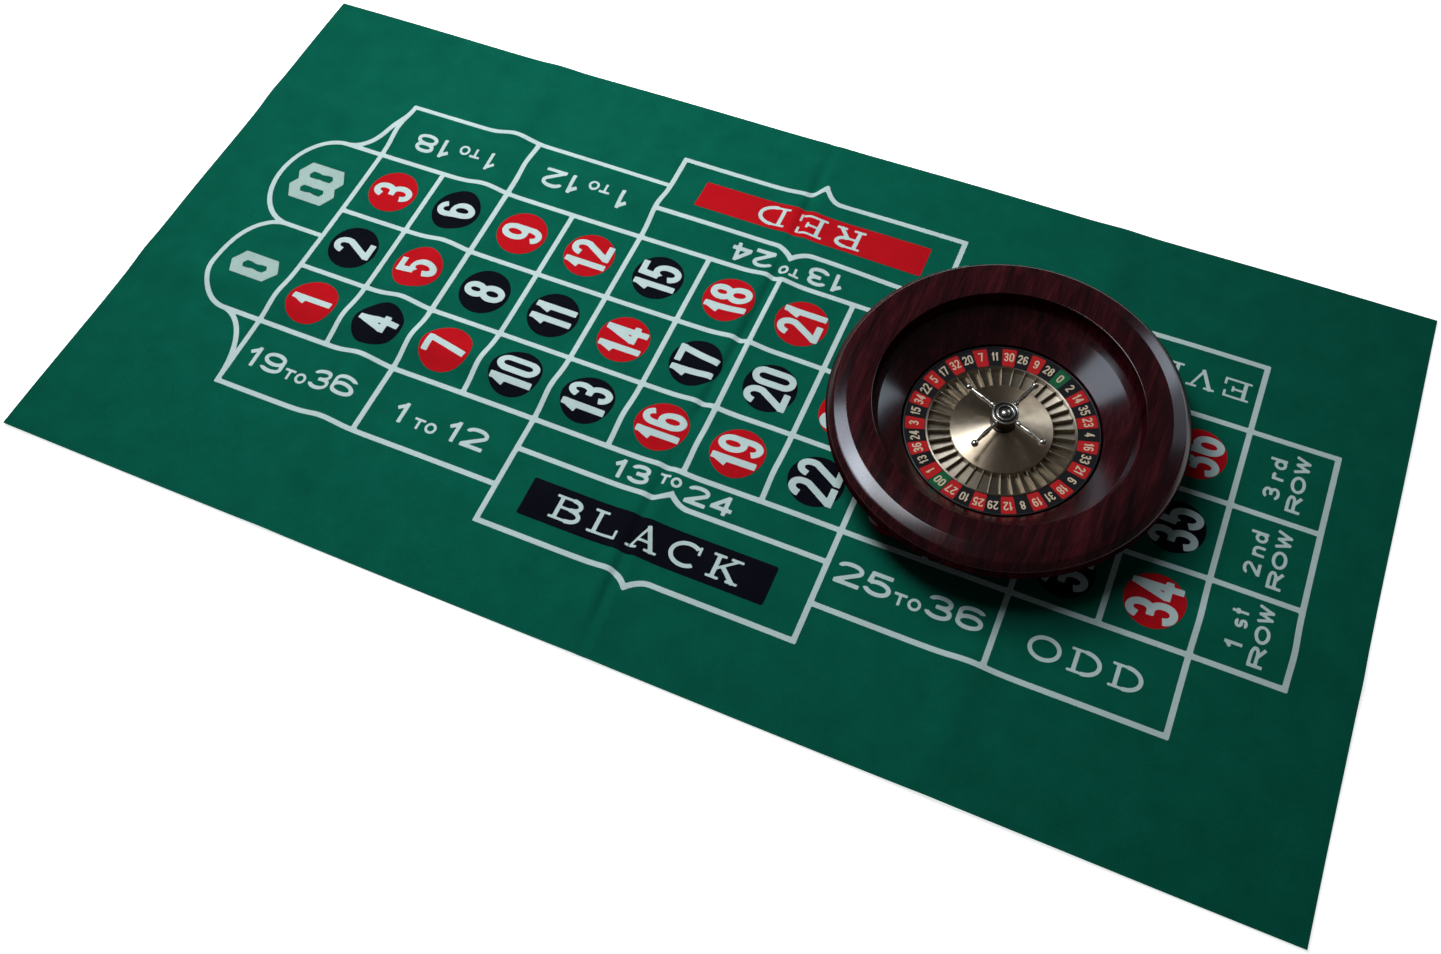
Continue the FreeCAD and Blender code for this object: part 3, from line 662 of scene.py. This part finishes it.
# ---------------------------------------------------------------- the felt and its print
def felt_sheet():
    """The felt as one closed sheet on a grid, finer at its sharp crease, raised at its folds."""
    start, end = CREASE_BAND
    even = np.linspace(MAT_LOW.x, MAT_HIGH.x, round((MAT_HIGH.x - MAT_LOW.x) / FELT_CELL) + 1)
    crease = np.linspace(start, end, round((end - start) / CREASE_CELL) + 1)
    across = np.concatenate([even[even < start - CREASE_GAP], crease,
                             even[even > end + CREASE_GAP]])
    columns = len(across) - 1
    rows = round((MAT_HIGH.y - MAT_LOW.y) / FELT_CELL)
    x, y = np.meshgrid(across, np.linspace(MAT_LOW.y, MAT_HIGH.y, rows + 1))
    x, y = x.ravel(), y.ravel()
    rise = mat_rise(x, y)
    top = np.stack([x, y, rise + MAT_HIGH.z], 1)
    under = np.stack([x, y, rise + MAT_LOW.z], 1)
    wide = columns + 1
    count = len(x)
    cells = [(r * wide + c, r * wide + c + 1, (r + 1) * wide + c + 1, (r + 1) * wide + c)
             for r in range(rows) for c in range(columns)]
    faces = cells + [tuple(count + i for i in reversed(cell)) for cell in cells]
    around = list(range(columns))
    around += [r * wide + columns for r in range(rows)]
    around += [rows * wide + columns - c for c in range(columns)]
    around += [(rows - r) * wide for r in range(rows)]
    for a, b in zip(around, around[1:] + around[:1]):
        faces.append((b, a, count + a, count + b))
    piece = add_mesh("felt_layout", np.concatenate([top, under]), faces, felt, sharp=60)
    return finished(piece, "mat", "felt", "felt_mat")


def on_felt(x, y, lift):
    """A point of the print, given in millimetres, on the felt's surface."""
    x, y = x * MM, y * MM
    return np.stack([x, y, MAT_HIGH.z + mat_rise(x, y) + lift], 1)


def ink(name, patches, material):
    """A piece of print lying on the felt."""
    return finished(slab(name, patches, on_felt, material, INK_DEPTH), "mat", "felt")


def column_line(index):
    """The x of an upright line of the number grid."""
    return COLUMN_START + COLUMN_PITCH * index


def brace(y, reach, steps=8):
    """Bars of a level line's middle that sweeps up to a point, as on a bracket."""
    shares = [step / steps for step in range(-steps, steps + 1)]
    spots = [(MIDDLE_X + BRACE_HALF * t, y + reach * (1 - abs(t)) ** 2) for t in shares]
    return [(*a, *b) for a, b in zip(spots, spots[1:])]


def layout_bars():
    """Every straight line of the layout as (x0, y0, x1, y1)."""
    left, right = column_line(0), column_line(COLUMNS)
    inner_left, inner_right = column_line(4), column_line(8)
    bars = [(column_line(i), ROW_LINES[0], column_line(i), ROW_LINES[3])
            for i in range(COLUMNS + 1)]
    bars += [(left, y, ROW_BOX_END, y) for y in ROW_LINES]
    bars.append((ROW_BOX_END, ROW_LINES[0], ROW_BOX_END, ROW_LINES[3]))
    bars += [(ZERO_X, y, left, y) for y in (ROW_LINES[0], ZERO_SPLIT, ROW_LINES[3])]
    for near, far, box_far in ((ROW_LINES[3], SIDE_BOX_TOP, RED_BOX_TOP),
                               (ROW_LINES[0], SIDE_BOX_BOTTOM, BLACK_BOX_BOTTOM)):
        bars += [(column_line(i), near, column_line(i), far) for i in (0, 2, 10, 12)]
        bars += [(x, near, x, box_far) for x in (inner_left, inner_right)]
        bars += [(left, far, inner_left, far), (inner_right, far, right, far)]
    for y, reach in ((RED_BOX_TOP, 15), (STRIP_TOP, -10), (STRIP_BOTTOM, 9),
                     (BLACK_BOX_BOTTOM, -11)):
        bars.append((inner_left, y, MIDDLE_X - BRACE_GAP, y))
        bars.append((MIDDLE_X + BRACE_GAP, y, inner_right, y))
        bars += brace(y, reach)
    return bars


def layout_arcs():
    """The two lobes of the zeros and the sweeps into the side boxes, as ellipse arcs."""
    left = column_line(0)
    top, foot, middle = ROW_LINES[3], ROW_LINES[0], ZERO_SPLIT
    sweep = left - ZERO_X + 2
    return [
        (ZERO_X, (top + middle) / 2, 46, (top - middle) / 2, 90, 270),
        (ZERO_X, (foot + middle) / 2, 42, (middle - foot) / 2, 90, 270),
        (left - sweep, SIDE_BOX_TOP, sweep, SIDE_BOX_TOP - top, 270, 360),
        (left - sweep, SIDE_BOX_BOTTOM, sweep, foot - SIDE_BOX_BOTTOM, 0, 90),
    ]


def layout_lines():
    """All the white lines as one piece."""
    bars, arcs = layout_bars(), layout_arcs()

    def field(x, y):
        nearest = np.full_like(x, 1e3)
        for bar in bars:
            nearest = np.minimum(nearest, bar_field(x, y, *bar, LINE_WIDTH))
        for arc in arcs:
            nearest = np.minimum(nearest, arc_field(x, y, *arc, LINE_WIDTH))
        return nearest

    low, high = (-535.3, -240.2), (550, 250)
    return ink("layout_lines", [fill(field, low, high, LINE_CELL)], white_ink)


def colour_bar(box):
    """The bar behind a colour's name."""
    x0, y0, x1, y1 = box
    return fill(lambda x, y: box_field(x, y, *box), (x0 - 1, y0 - 1), (x1 + 1, y1 + 1), BAR_CELL)


def number_discs():
    """The red and black discs, the two colour bars and the white numbers on the discs."""
    digits = Style(height=43, width=19.5, stroke=6.5, gap=2.2)
    red, black, white = [colour_bar(RED_BAR)], [colour_bar(BLACK_BAR)], []
    for number in range(1, 3 * COLUMNS + 1):
        column, row = divmod(number - 1, 3)
        x = column_line(column) + COLUMN_PITCH / 2
        y = (ROW_LINES[row] + ROW_LINES[row + 1]) / 2
        disc = fill(lambda u, v: disc_field(u, v, x, y, DISC_R),
                    (x - DISC_REACH, y - DISC_REACH), (x + DISC_REACH, y + DISC_REACH), DISC_CELL)
        (red if number in RED_NUMBERS else black).append(disc)
        white += write(str(number), digits, x, y, 90)
    yield ink("layout_red", red, red_ink)
    yield ink("layout_black", black, black_ink)
    yield raised_ink("layout_numbers", white)


def raised_ink(name, patches):
    """White ink printed over a disc or bar, so it lies a little higher."""
    def place(x, y, lift):
        return on_felt(x, y, lift + INK_LIFT * RAISED_SHARE)

    return finished(slab(name, patches, place, white_ink, RAISED_DEPTH), "mat", "felt")


def span_words(low, high, x, y, turn=0, height=22, small_lift=-5.5, space=3.2):
    """A legend such as 1 TO 12, with a small TO between wide figures."""
    wide = Style(height, height * 1.06, 3.9, 3.4)
    small = Style(height * 0.52, height * 0.52, 2.5, 1.6, cell=0.7)
    pieces = [(low, wide, 0), ("TO", small, small_lift), (high, wide, 0)]
    total = sum(style.length(text) for text, style, _ in pieces) + 2 * space
    cursor = -total / 2
    angle = math.radians(turn)
    patches = []
    for text, style, lift in pieces:
        middle = cursor + style.length(text) / 2
        patches += write(text, style, x + middle * math.cos(angle) - lift * math.sin(angle),
                         y + middle * math.sin(angle) + lift * math.cos(angle), turn)
        cursor += style.length(text) + space
    return patches


def layout_words():
    """The legends of the side boxes and the row boxes."""
    patches = span_words("19", "36", -367, -148)
    patches += span_words("1", "12", -214, -150, space=8.5)
    patches += span_words("13", "24", MIDDLE_X - 3, -127, 0, 19.5, 4.5, 7)
    patches += span_words("25", "36", 240, -147)
    patches += span_words("1", "18", -363, 146, 180, space=8.5)
    patches += span_words("1", "12", -214, 151, 180, space=8.5)
    patches += span_words("13", "24", MIDDLE_X, 134, 180, 19.5, 4.5, 7)
    patches += span_words("25", "36", 240, 152, 180)
    serif = Style(height=23, width=28, stroke=3.6, gap=6.0, thin=2.3, cell=0.8)
    patches += write("ODD", serif, 392, -149)
    patches += write("EVEN", Style(22, 27, 3.4, 4.0, 2.2, 0.8), 399, 156, 180)
    ordinal = Style(height=14.5, width=12, stroke=2.7, gap=3.4, cell=0.7)
    row_face = Style(height=12.5, width=17.5, stroke=2.8, gap=2.6, cell=0.7)
    for number, ending in enumerate(("st", "nd", "rd"), start=1):
        y = (ROW_LINES[number - 1] + ROW_LINES[number]) / 2
        patches += write(str(number), ordinal, ORDINAL_X, y - 15, 90)
        patches += write(ending, ordinal, ORDINAL_X, y + 10, 90)
        patches += write("ROW", row_face, ROW_WORD_X, y + 1, 90)
    return ink("layout_words", patches, white_ink)


def colour_words():
    """RED and BLACK in white over their bars."""
    patches = write("BLACK", Style(25, 31, 3.9, 7.0, 2.4, 0.8), 11, -183)
    patches += write("RED", Style(26, 32, 4.0, 8.0, 2.5, 0.8), 16, 190.5, 180)
    return raised_ink("layout_colour_words", patches)


def hexagon(u, v, half_length, half_width):
    """Distance outside a lying hexagon with pointed ends."""
    return np.maximum(v - half_width, 0.878 * (u - half_length) + 0.478 * v)


def zero_field(x, y, cx, cy):
    """A six-sided zero lying on its side, its slot pinched in the middle."""
    u, v = np.abs(x - cx), np.abs(y - cy)
    pinch = 1.3 * np.clip(1 - u / 6, 0, 1)
    return np.maximum(hexagon(u, v, 27, 14.8), -hexagon(u, v + pinch, 14, 4.6))


def zeros():
    """The 0 and the 00 in their lobes."""
    patches = []
    for x, y, spread in ((ZERO_X + 1, SINGLE_ZERO_Y, 0), (ZERO_X - 1.5, DOUBLE_ZERO_Y, 9.4)):
        def field(u, v):
            return np.minimum(zero_field(u, v, x, y - spread), zero_field(u, v, x, y + spread))

        reach = 16 + spread
        patches.append(fill(field, (x - 29, y - reach), (x + 29, y + reach), ZERO_CELL))
    return ink("layout_zeros", patches, zero_ink)


# ---------------------------------------------------------------- the wheel
def scaled(corners):
    """Corners given in millimetres, in metres."""
    return [tuple(value * MM for value in corner) for corner in corners]


def bowl():
    """The bowl's moulding with every edge rounded, from its outer wall over the rim and in."""
    rim, top, base = RIM_R / MM, BOWL_HIGH.z / MM, BOWL_LOW.z / MM
    outline = rounded(scaled([
        (rim - 20, base, 0.6),
        (rim - 8, 38, 2.5),
        (rim - 0.4, 44, 1.5),
        (rim, 54.5, 7.5),
        (rim - 6.5, 60.9, 4.0),
        (rim - 18, top - 0.2, 5.0),
        (rim - 28, top, 12),
        (rim - 40, top - 0.8, 1.1),
        (rim - 40, 60.4, 0.6),
        (rim - 38.6, 58.6, 1.2),
        (rim - 39.8, 46.5, 9.0),
        (rim - 46, 39.8, 6.0),
        (88.5, 21.9, 0.9),
        (88.5, 9, 0.2),
        (91.5, 9, 0.2),
        (91.5, 19.9, 0.8),
        (113.4, 38.4, 2),
        (119.4, 46, 2),
        (120.6, 59, 1),
        (rim - 19, 60.6, 1),
        (rim - 8, 57.5, 1),
        (rim - 3, 52.5, 1),
        (rim - 3, 46, 1),
        (rim - 11, 40, 1),
        (rim - 23, base, 0.6),
    ]), steps=6)
    piece = lathe("bowl_moulding", outline, wood, steps=288)
    return finished(piece, "wheel_base", "bowl_plastic", "bowl_rim", "ball_track",
                    "bowl_apron")


def ring_place(x, y, lift):
    """A point of the number ring's print. x is mm along the ring, y is mm out from its middle."""
    middle = (RING_R + POCKET_R) / 2
    angle = np.radians(ZERO_TURN) + x * MM / middle
    radius = middle + y * MM
    slope = (radius - POCKET_R) / (RING_R - POCKET_R)
    z = RING_HIGH.z + (slope - 1) * 2 * MM + lift
    return np.stack([WHEEL_X + radius * np.cos(angle), WHEEL_Y + radius * np.sin(angle), z], 1)


def ring_print():
    """The red and green sectors of the number ring and its cream numbers."""
    middle = (RING_R + POCKET_R) / 2 / MM
    step = math.radians(POCKET_STEP) * middle
    reach = (RING_R - POCKET_R) / 2 / MM - 0.5
    digits = Style(height=8.6, width=4.2, stroke=1.25, gap=0.7, cell=0.28)
    reds, greens, numbers = [], [], []
    for index, number in enumerate(WHEEL_ORDER):
        x = index * step
        if int(number) == 0 or int(number) in RED_NUMBERS:
            half = step / 2 - 0.35
            sector = fill(lambda u, v: box_field(u, v, x - half, -reach, x + half, reach),
                          (x - half - 0.3, -reach - 0.3), (x + half + 0.3, reach + 0.3), 1.1)
            (reds if int(number) else greens).append(sector)
        for flat, cells in write(number, digits, 0, 0):
            turned = np.stack([x - flat[:, 0], flat[:, 1] + 0.8], 1)
            numbers.append((turned, [cell[::-1] for cell in cells]))

    def higher(x, y, lift):
        return ring_place(x, y, lift + RING_NUMBER_LIFT)

    for name, patches, place, material, depth in (
            ("ring_red_sectors", reds, ring_place, ring_red, SECTOR_DEPTH),
            ("ring_green_sectors", greens, ring_place, ring_green, SECTOR_DEPTH),
            ("ring_numbers", numbers, higher, ring_cream, RING_NUMBER_DEPTH)):
        yield finished(slab(name, patches, place, material, depth), "rotor", "black_plastic")


def number_shelf():
    """The black shelf under the numbers with its raised outer lip, edges rounded."""
    outline = rounded(scaled([
        (67, 10.6, 0.2), (68.6, 10.6, 0.2), (68.6, 15.7, 0.3), (85.2, 17.7, 0.3),
        (85.2, 11, 0.3), (86.8, 11, 0.4), (86.8, 21.2, 0.7), (85.45, 21.2, 0.6),
        (85.4, 19.3, 0.1), (67, 17.3, 0.1),
    ]), steps=4)
    return finished(lathe("shelf_moulding", outline, black_plastic), "rotor", "black_plastic",
                    "number_shelf")


def pocket_ring():
    """The brass ring of pockets: floor, inner wall and the bright rolled lip."""
    outline = rounded(scaled([
        (44.0, 12, 0.2), (66.9, 12, 0.2), (66.9, 19.2, 0.75), (65.2, 19.2, 0.7),
        (65.2, 12.8, 0.8), (44.8, 12.8, 0.8), (44.8, 19.7, 0.2), (44.0, 19.7, 0.2),
    ]), steps=5)
    return finished(lathe("pocket_ring_spun", outline, pocket_brass), "rotor", "pocket_brass",
                    "pocket_ring")


def frets():
    """The thin walls between the pockets, with rounded tops."""
    section = rounded(scaled([(-0.45, 12.75, 0), (0.45, 12.75, 0), (0.3, 18.4, 0.28),
                              (-0.3, 18.4, 0.28)]), steps=4)
    points, faces = [], []
    for index in range(len(WHEEL_ORDER)):
        angle = math.radians(ZERO_TURN + (index + 0.5) * POCKET_STEP)
        out = Vector((math.cos(angle), math.sin(angle), 0))
        across = Vector((-out.y, out.x, 0))
        base = len(points)
        for radius in (44.85 * MM, 65.15 * MM):
            points += [AXIS + out * radius + across * s.x + Vector((0, 0, s.y)) for s in section]
        count = len(section)
        for a in range(count):
            b = (a + 1) % count
            faces.append((base + a, base + b, base + count + b, base + count + a))
        faces.append(tuple(base + a for a in reversed(range(count))))
        faces.append(tuple(base + count + a for a in range(count)))
    piece = add_mesh("fret_walls", points, faces, pocket_brass, sharp=40)
    turn_outwards(piece.data)
    return finished(piece, "rotor", "pocket_brass", "pocket_frets")


def cone():
    """The spun cone with its rolled edge."""
    outline = rounded(scaled([
        (9.6, 30.2, 0.1), (43.9, 19.9, 0.3), (45.3, 19.7, 0.3), (45.3, 20.5, 0.45),
        (44.0, 20.9, 0.5), (30, 25.3, 20), (9.6, 31.0, 0.2),
    ]), steps=6)
    return finished(lathe("cone_spinning", outline, cone_brass, steps=256), "rotor",
                    "cone_brass", "rotor_cone")


def turret():
    """Column, hub, ring and dome, turned and rounded. The column and hub take the near-black
    metal, and black discs line the two grooves, as painted shade.
    """
    column = rounded(scaled([
        (7.6, 28.5, 0.2), (9.5, 28.5, 0.2), (9.5, 31.0, 0.2), (11.6, 31.0, 0.4),
        (11.6, 32.2, 0.5), (9.4, 33.2, 0.7), (8.2, 37, 6), (8.6, 41, 0.3), (3, 41, 0.1),
        (3, 38, 0.1), (0, 38, 0), (0, 36, 0), (7.6, 36, 0.3),
    ]), steps=5)
    yield finished(lathe("column_turned", column, column_bronze, steps=96), "rotor",
                   "column_bronze", "turret_column")
    # Painted shade: the hub's side is coloured near black; its bright top edge is the separate
    # crown above.
    hub = rounded(scaled([
        (0, 38, 0), (3, 38, 0.1), (3, 41, 0.1), (8.4, 41, 0.4), (11.6, 43, 1.0),
        (11.6, 46.4, 0.3), (10.2, 46.4, 0.1), (10.2, 46, 0.1),
        (1.5, 46, 0.1), (1.5, 42.5, 0.1), (0, 42.5, 0),
    ]), steps=5)
    yield finished(lathe("hub_turned", hub, column_bronze, steps=96), "rotor", "column_bronze",
                   "turret_hub")
    crown = rounded(scaled([(10.1, 46.3, 0.1), (11.6, 46.3, 0.1), (11.6, 47.5, 0.65),
                            (10.1, 47.5, 0.65)]), steps=5)
    yield finished(lathe("crown_turned", crown, turret_metal, steps=96), "rotor", "turret_metal")
    ring = rounded(scaled([(6.3, 46, 0.1), (8.1, 46, 0.1), (8.1, 47.9, 0.8),
                           (6.3, 47.9, 0.8)]), steps=6)
    yield finished(lathe("ring_turned", ring, turret_metal, steps=96), "rotor", "turret_metal",
                   "turret_ring")
    # Painted shade: thin black discs on the floors of the hub's two grooves darken them.
    for name, inner, outer in (("outer_groove_shade", 8.1, 10.2), ("inner_groove_shade", 4.2, 6.3)):
        groove_shade = scaled([(inner, 45.98), (outer, 45.98), (outer, 46.12), (inner, 46.12)])
        yield finished(lathe(name, groove_shade, black_plastic, steps=96), "rotor", "black_plastic")
    dome = rounded(scaled([
        (0, 42.5, 0), (1.5, 42.5, 0.1), (1.5, 46, 0.1), (3.6, 46, 0.2), (4.2, 47.2, 0.6),
        (3.4, 48.9, 1.4), (1.4, 49.7, 1.5), (0, 49.8, 0),
    ]), steps=5)
    yield finished(lathe("dome_turned", dome, turret_metal, steps=64), "rotor", "turret_metal",
                   "turret_dome")


def arms():
    """The four turned arms: pin, collar, bead, slender taper and ball tip."""
    tip_x, tip_r = 40.6, 3.25
    ball = [(tip_x - tip_r * math.cos(math.radians(a)), tip_r * math.sin(math.radians(a)), 0)
            for a in range(24, 180, 12)]
    outline = rounded(scaled([
        (7.6, 0, 0), (7.6, 1.2, 0.2), (11.6, 1.2, 0.1), (11.6, 2.0, 0.2), (12.4, 1.5, 0.3),
        (13.2, 2.45, 0.8), (15.8, 2.45, 0.8), (16.8, 1.4, 0.5), (25.5, 2.25, 9),
        (37.4, 1.2, 0.6), *ball, (tip_x + tip_r, 0, 0),
    ]), steps=5)
    height = (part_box("turret_arm_1")[0].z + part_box("turret_arm_1")[1].z) / 2
    lying = Matrix.Rotation(math.radians(90), 4, "Y")
    for number in range(ARM_COUNT):
        turn = Matrix.Rotation(math.radians(TURRET_TURN + 360 / ARM_COUNT * number), 4, "Z")
        place = Matrix.Translation(AXIS + Vector((0, 0, height))) @ turn @ lying
        piece = lathe(f"arm_turned_{number + 1}", [(y, x) for x, y in outline], turret_metal,
                      steps=40, place=place)
        yield finished(piece, "rotor", "turret_metal", f"turret_arm_{number + 1}")


# ---------------------------------------------------------------- stage, light and camera
def floor():
    """A plain pale floor."""
    look = Shader("floor_paint", (0.88, 0.88, 0.88), 0.6, Emission_Color=(1.0, 1.0, 1.0),
                  Emission_Strength=0.75)
    look.drive("Roughness", look.span(look.noise(8), 0.55, 0.65))
    half = 4.0
    corners = [(-half, -half, 0), (half, -half, 0), (half, half, 0), (-half, half, 0)]
    plane = add_mesh("floor", corners, [(0, 1, 2, 3)], look.material)
    plane.location.z = -FLOOR_DROP


def window(name, place, aim, width, height, watts, colour):
    """A soft oval light at a place, turned towards what it lights."""
    light = bpy.data.lights.new(name, "AREA")
    light.shape = "ELLIPSE"
    light.size, light.size_y = width, height
    light.energy = watts
    light.color = colour
    lamp = bpy.data.objects.new(name, light)
    bpy.context.scene.collection.objects.link(lamp)
    lamp.location = place
    lamp.rotation_euler = (Vector(place) - Vector(aim)).to_track_quat("Z", "Y").to_euler()
    return lamp


def sky(strength):
    """An even, nearly white world."""
    world = bpy.data.worlds.new("studio")
    world.use_nodes = True
    background = world.node_tree.nodes["Background"]
    background.inputs["Color"].default_value = (0.95, 0.98, 1.0, 1)
    background.inputs["Strength"].default_value = strength
    bpy.context.scene.world = world


def camera():
    """A standing player's view of the whole layout."""
    data = bpy.data.cameras.new("camera")
    data.sensor_width = 36.0
    data.lens = 31.23
    data.shift_x = -0.0194
    view = bpy.data.objects.new("camera", data)
    view.location = (0.3124, -0.5659, 0.9785)
    view.rotation_euler = Euler([math.radians(a) for a in (28.5134, 2.1863, 23.1283)])
    bpy.context.scene.collection.objects.link(view)
    bpy.context.scene.camera = view


camera()
floor()
sky(0.04)
room_light = window("room_light", (-0.46, 0.34, 0.95), (-0.1, 0, 0), 0.5, 0.5, 9.2,
                    (1.0, 0.99, 0.97))
room_light.visible_glossy = False
window("ceiling_window", (-0.21, 0.11, 1.34), AXIS, 0.36, 0.62, 5.2, (0.88, 0.94, 1.0))
# Windows seen only in the polished surfaces.
for name, place, width, height, watts in (
        ("far_window", (1.01, 1.095, 0.69), 0.5, 1.0, 1.3),
        ("low_window", (1.18, 1.045, 0.34), 0.6, 0.3, 1.4),
        ("door_window", (0.7556, 1.135, 0.75), 0.24, 0.6, 1.4),
        ("side_window", (-0.50, 0.054, 1.10), 0.75, 0.5, 8.0),
        ("left_window", (-0.75, -0.30, 0.80), 0.7, 0.55, 4.2)):
    window(name, place, AXIS, width, height, watts, (0.74, 0.86, 1.0)).visible_diffuse = False
bpy.context.scene.view_settings.view_transform = "Standard"

dress_cad_nodes()
cloth = felt_sheet()
prints = [layout_lines(), *number_discs(), layout_words(), colour_words(), zeros()]
bowl()
number_shelf()
list(ring_print())
pocket_ring()
frets()
cone()
list(turret())
list(arms())
